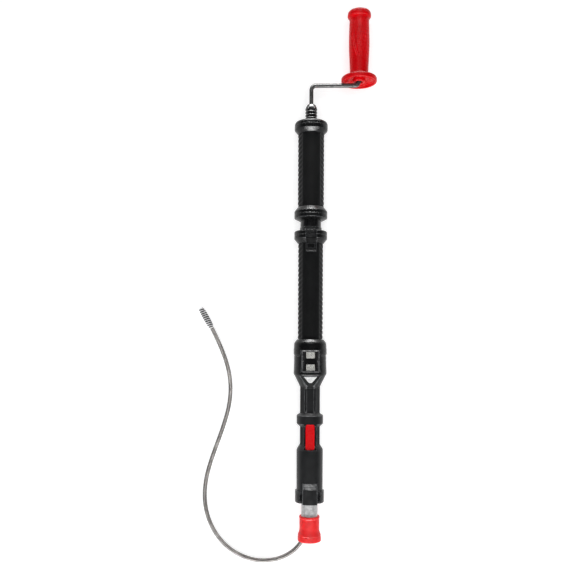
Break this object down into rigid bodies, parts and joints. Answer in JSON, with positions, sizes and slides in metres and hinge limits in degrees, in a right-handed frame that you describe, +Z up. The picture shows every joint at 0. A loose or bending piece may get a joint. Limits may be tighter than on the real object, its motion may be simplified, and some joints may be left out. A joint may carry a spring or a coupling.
{
  "type": "drain snake machine",
  "caption": "Hand-cranked drain snake: telescoping handles, detachable crank, sliding guide tube with a boot, and a steel cable with an open coil bulb.",
  "frame": {"origin": "on the floor plane, at the middle of the tool's footprint without its free cable", "axes": "+Y along the tool towards the crank, +Z up out of the side with the buttons and the badge, +X towards the crank's grip; the tool lies on its back"},
  "size_m": [0.275, 0.861, 0.055],
  "materials": {
    "black_plastic": "moulded black nylon with a fine grain",
    "gloss_black": "glossy black",
    "black_rubber": "overmoulded black rubber",
    "grey_pad": "light grey pads",
    "red_plastic": "semi-matte red",
    "red_rubber": "bright red soft rubber",
    "white_plastic": "off-white nylon",
    "steel": "satin steel",
    "zinc_tube": "mottled zinc-plated steel",
    "black_steel": "black oxide steel"
  },
  "bodies": {
    "housing": {"lower_handle_core": "black_plastic", "lower_handle_flange": "black_plastic", "lower_grip": "black_rubber", "wiper_ring": "black_rubber", "telescope_button_spring": "steel", "lock_housing": "black_plastic", "window_bezel": "black_plastic", "rocker_pin": "steel", "cable_lock_jaw": "steel", "cable_lock_anvil": "steel", "lower_housing_front": "black_plastic", "lower_housing_rear": "black_plastic", "pointer_plate": "white_plastic", "badge_plate": "red_plastic", "nose_collar": "black_plastic", "tube_button_spring": "steel", "housing_screw_1": "black_steel", "housing_screw_2": "black_steel", "housing_screw_3": "black_steel", "housing_screw_4": "black_steel"},
    "upper_handle": {"upper_top_flange": "black_plastic", "upper_bottom_flange": "black_plastic", "upper_handle_core": "black_plastic", "upper_grip": "black_rubber", "upper_bearing": "steel", "lower_bearing": "steel", "telescope_tube": "black_plastic", "telescope_glide_ring": "white_plastic"},
    "spindle": {"drive_shaft": "steel", "shaft_retaining_ring": "steel", "cable_connector": "steel", "connector_screw": "black_steel", "inner_cable": "steel", "coupler_body": "black_steel", "coupler_spring": "steel"},
    "release_sleeve": {"coupler_sleeve": "gloss_black"},
    "crank": {"crank_rod": "black_steel", "grip_thrust_washer": "steel", "grip_retaining_nut": "steel"},
    "hand_grip": {"crank_grip": "red_plastic", "crank_grip_end_cap": "red_plastic"},
    "upper_button": {"telescope_button": "black_plastic"},
    "rocker": {"lock_rocker": "black_plastic", "rocker_pad_upper": "grey_pad", "rocker_pad_lower": "grey_pad"},
    "nose": {"guide_tube": "zinc_tube", "tube_stop_ring": "black_plastic", "tube_boot": "red_rubber", "exit_bush": "white_plastic", "free_cable": "steel"},
    "nose_button": {"tube_button": "black_plastic"},
    "tip": {"bulb_tip": "black_steel", "tip_core": "steel"}
  },
  "joints": [
    {"name": "telescope_slide", "type": "slide", "parent": "housing", "child": "upper_handle", "axis": [0, 1, 0], "range_m": [0, 0.155]},
    {"name": "spindle_spin", "type": "hinge", "parent": "upper_handle", "child": "spindle", "pos_m": [-0.03769, 0.225, 0.0256], "axis": [0, 1, 0], "continuous": true},
    {"name": "coupler_sleeve_pull", "type": "slide", "parent": "spindle", "child": "release_sleeve", "axis": [0, 1, 0], "range_m": [0, 0.003], "stiffness_N_per_m": 800, "springref_m": -0.002, "deforming": ["coupler_spring"]},
    {"name": "crank_pull", "type": "slide", "parent": "spindle", "child": "crank", "axis": [0, 1, 0], "range_m": [0, 0.028]},
    {"name": "grip_spin", "type": "hinge", "parent": "crank", "child": "hand_grip", "pos_m": [0.03579, 0.35, 0.0275], "axis": [0, 1, 0], "continuous": true},
    {"name": "telescope_button_press", "type": "slide", "parent": "housing", "child": "upper_button", "axis": [0, 0, -1], "range_m": [0, 0.0012], "stiffness_N_per_m": 1500, "springref_m": -0.001, "deforming": ["telescope_button_spring"]},
    {"name": "lock_rocker_tilt", "type": "hinge", "parent": "housing", "child": "rocker", "pos_m": [-0.03769, -0.1318, 0.0446], "axis": [1, 0, 0], "range_deg": [-3.5, 3.5]},
    {"name": "guide_tube_slide", "type": "slide", "parent": "housing", "child": "nose", "axis": [0, -1, 0], "range_m": [0, 0.11]},
    {"name": "tube_button_press", "type": "slide", "parent": "housing", "child": "nose_button", "axis": [0, 0, -1], "range_m": [0, 0.0015], "stiffness_N_per_m": 1500, "springref_m": -0.001, "deforming": ["tube_button_spring"]},
    {"name": "bulb_spin", "type": "hinge", "parent": "nose", "child": "tip", "pos_m": [-0.1924, -0.0804, 0.0058], "axis": [-0.5, 0.866, 0], "continuous": true}
  ],
  "couplings": [
    {"joint": "bulb_spin", "follows": "spindle_spin", "ratio": -1}
  ]
}
